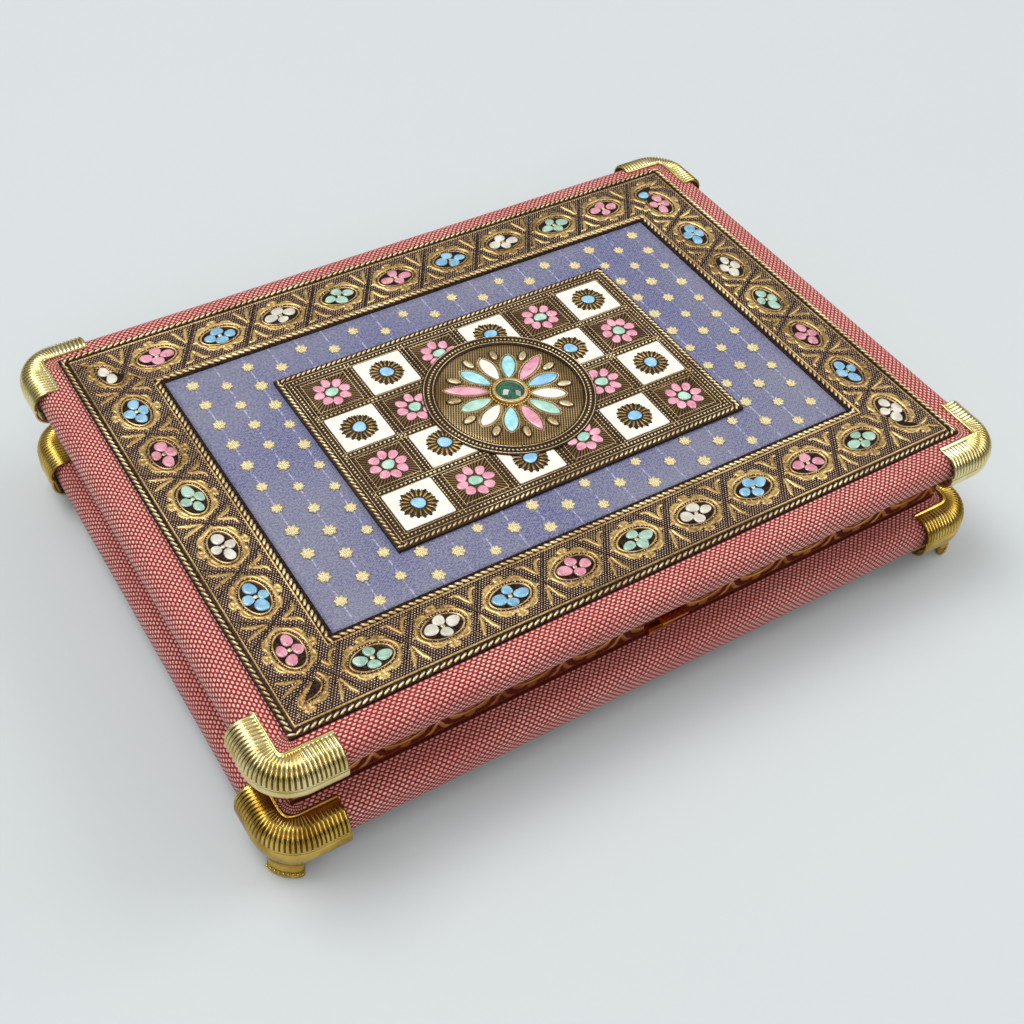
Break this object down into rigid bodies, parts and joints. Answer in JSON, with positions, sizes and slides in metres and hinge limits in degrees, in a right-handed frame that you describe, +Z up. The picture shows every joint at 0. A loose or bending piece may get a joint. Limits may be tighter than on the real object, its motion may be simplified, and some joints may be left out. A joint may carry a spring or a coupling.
{
  "type": "dry fruit gift box",
  "caption": "Hinged gift box with padded fabric slabs, brass corner guards and feet, divided tray, front clasp and an enamelled ornamental frame on the lid.",
  "frame": {"origin": "middle of the footprint, on the surface that the four feet stand on", "axes": "+Z up, +X along the long side to the right of someone facing the clasp, -Y towards that person (the clasp side)"},
  "size_m": [0.2824, 0.2034, 0.0611],
  "materials": {
    "wood_board": "smooth fibre board",
    "pink_fabric": "maroon cloth with pale pink woven dots over wadding",
    "antique_brass": "embossed sheet, blackened in the hollows",
    "gold_plate": "polished gold-coloured plating, fluted",
    "lining_velvet": "short pile",
    "bottom_paper": "matt covering paper",
    "blue_brocade": "blue weave with gold thread florets",
    "pink_enamel": "glossy enamel",
    "white_enamel": "glossy enamel",
    "mixed_enamel": "glossy enamel in white, aqua, pink and blue",
    "green_stone": "polished dome",
    "brass_fitting": "small pressed brass fittings"
  },
  "bodies": {
    "base": {"base_board": "wood_board", "bottom_paper": "bottom_paper", "tray_lining": "lining_velvet", "wall_front": "wood_board", "wall_back": "wood_board", "wall_left": "wood_board", "wall_right": "wood_board", "neck_band_front": "antique_brass", "neck_band_back": "antique_brass", "neck_band_left": "antique_brass", "neck_band_right": "antique_brass", "base_pad_front": "pink_fabric", "base_pad_back": "pink_fabric", "base_pad_left": "pink_fabric", "base_pad_right": "pink_fabric", "long_divider": "lining_velvet", "cross_divider_1": "lining_velvet", "cross_divider_2": "lining_velvet", "corner_foot_front_left": "gold_plate", "corner_foot_front_right": "gold_plate", "corner_foot_back_left": "gold_plate", "corner_foot_back_right": "gold_plate", "hinge_base_leaf_left": "brass_fitting", "hinge_base_leaf_right": "brass_fitting", "hinge_pin_left": "brass_fitting", "hinge_pin_right": "brass_fitting", "hinge_base_screws": "brass_fitting", "catch_knob": "brass_fitting"},
    "lid": {"lid_board": "wood_board", "lid_lining": "lining_velvet", "lid_pad_front": "pink_fabric", "lid_pad_back": "pink_fabric", "lid_pad_left": "pink_fabric", "lid_pad_right": "pink_fabric", "frame_strip_front": "antique_brass", "frame_strip_back": "antique_brass", "frame_strip_left": "antique_brass", "frame_strip_right": "antique_brass", "fabric_panel": "blue_brocade", "centre_plate": "antique_brass", "flower_tiles": "pink_enamel", "starburst_tiles": "white_enamel", "medallion": "antique_brass", "enamel_petals": "mixed_enamel", "stone_bezel": "brass_fitting", "centre_stone": "green_stone", "frame_enamel_flowers": "mixed_enamel", "corner_guard_front_left": "gold_plate", "corner_guard_front_right": "gold_plate", "corner_guard_back_left": "gold_plate", "corner_guard_back_right": "gold_plate", "hinge_lid_leaf_left": "brass_fitting", "hinge_lid_leaf_right": "brass_fitting", "hinge_lid_screws": "brass_fitting", "clasp_bracket": "brass_fitting", "clasp_pin": "brass_fitting"},
    "clasp": {"clasp_tongue": "brass_fitting"}
  },
  "joints": [
    {"name": "lid_hinge", "type": "hinge", "parent": "base", "child": "lid", "pos_m": [0, 0.0906, 0.0412], "axis": [-1, 0, 0], "range_deg": [0, 100]},
    {"name": "clasp_hinge", "type": "hinge", "parent": "lid", "child": "clasp", "pos_m": [0, -0.0919, 0.0415], "axis": [-1, 0, 0], "range_deg": [0, 90]}
  ]
}
